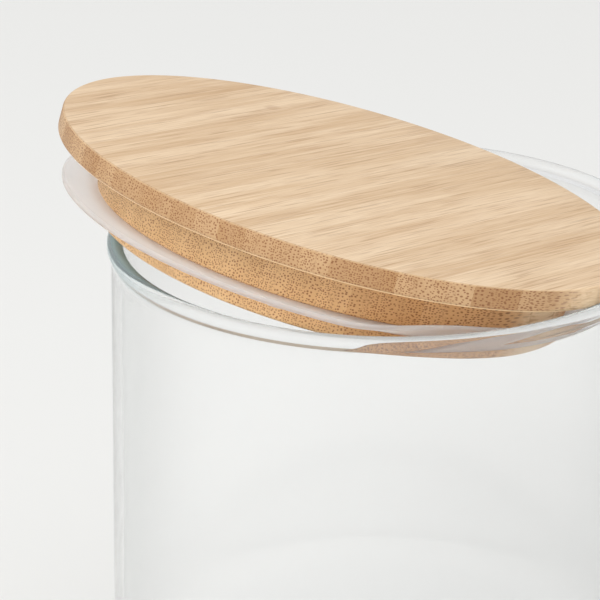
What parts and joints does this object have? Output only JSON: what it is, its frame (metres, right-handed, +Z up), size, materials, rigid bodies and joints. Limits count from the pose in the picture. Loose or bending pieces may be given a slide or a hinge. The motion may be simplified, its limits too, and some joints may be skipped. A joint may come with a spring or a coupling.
{
  "type": "food canister",
  "caption": "Glass storage jar with a turned bamboo lid and a silicone seal, the lid leaning in the open mouth.",
  "frame": {"origin": "centre of the jar's flat underside, on the table", "axes": "+Z up along the jar's axis; +X is the side of the mouth that the lid dips into; the lid leans about Y"},
  "size_m": [0.1301, 0.1254, 0.1501],
  "materials": {
    "glass": "polished",
    "silicone": "translucent satin",
    "bamboo": "sanded, thin oil"
  },
  "bodies": {
    "jar": {"glass_jar": "glass"},
    "seal": {"silicone_seal": "silicone"},
    "board": {"lid_strip_01": "bamboo", "lid_strip_02": "bamboo", "lid_strip_03": "bamboo", "lid_strip_04": "bamboo", "lid_strip_05": "bamboo", "lid_strip_06": "bamboo", "lid_strip_07": "bamboo", "lid_strip_08": "bamboo", "lid_strip_09": "bamboo", "lid_strip_10": "bamboo", "lid_strip_11": "bamboo", "lid_strip_12": "bamboo", "lid_strip_13": "bamboo", "lid_strip_14": "bamboo", "lid_strip_15": "bamboo", "lid_strip_16": "bamboo", "lid_strip_17": "bamboo", "lid_strip_18": "bamboo", "lid_strip_19": "bamboo", "lid_strip_20": "bamboo", "lid_strip_21": "bamboo", "lid_strip_22": "bamboo"}
  },
  "joints": [
    {"name": "lid_lift", "type": "slide", "parent": "jar", "child": "seal", "axis": [0, 0, 1], "range_m": [0, 0.09]},
    {"name": "lid_turn", "type": "hinge", "parent": "seal", "child": "board", "pos_m": [-0.0086, 0, 0.1336], "axis": [0.2656, 0, 0.9641], "continuous": true}
  ]
}
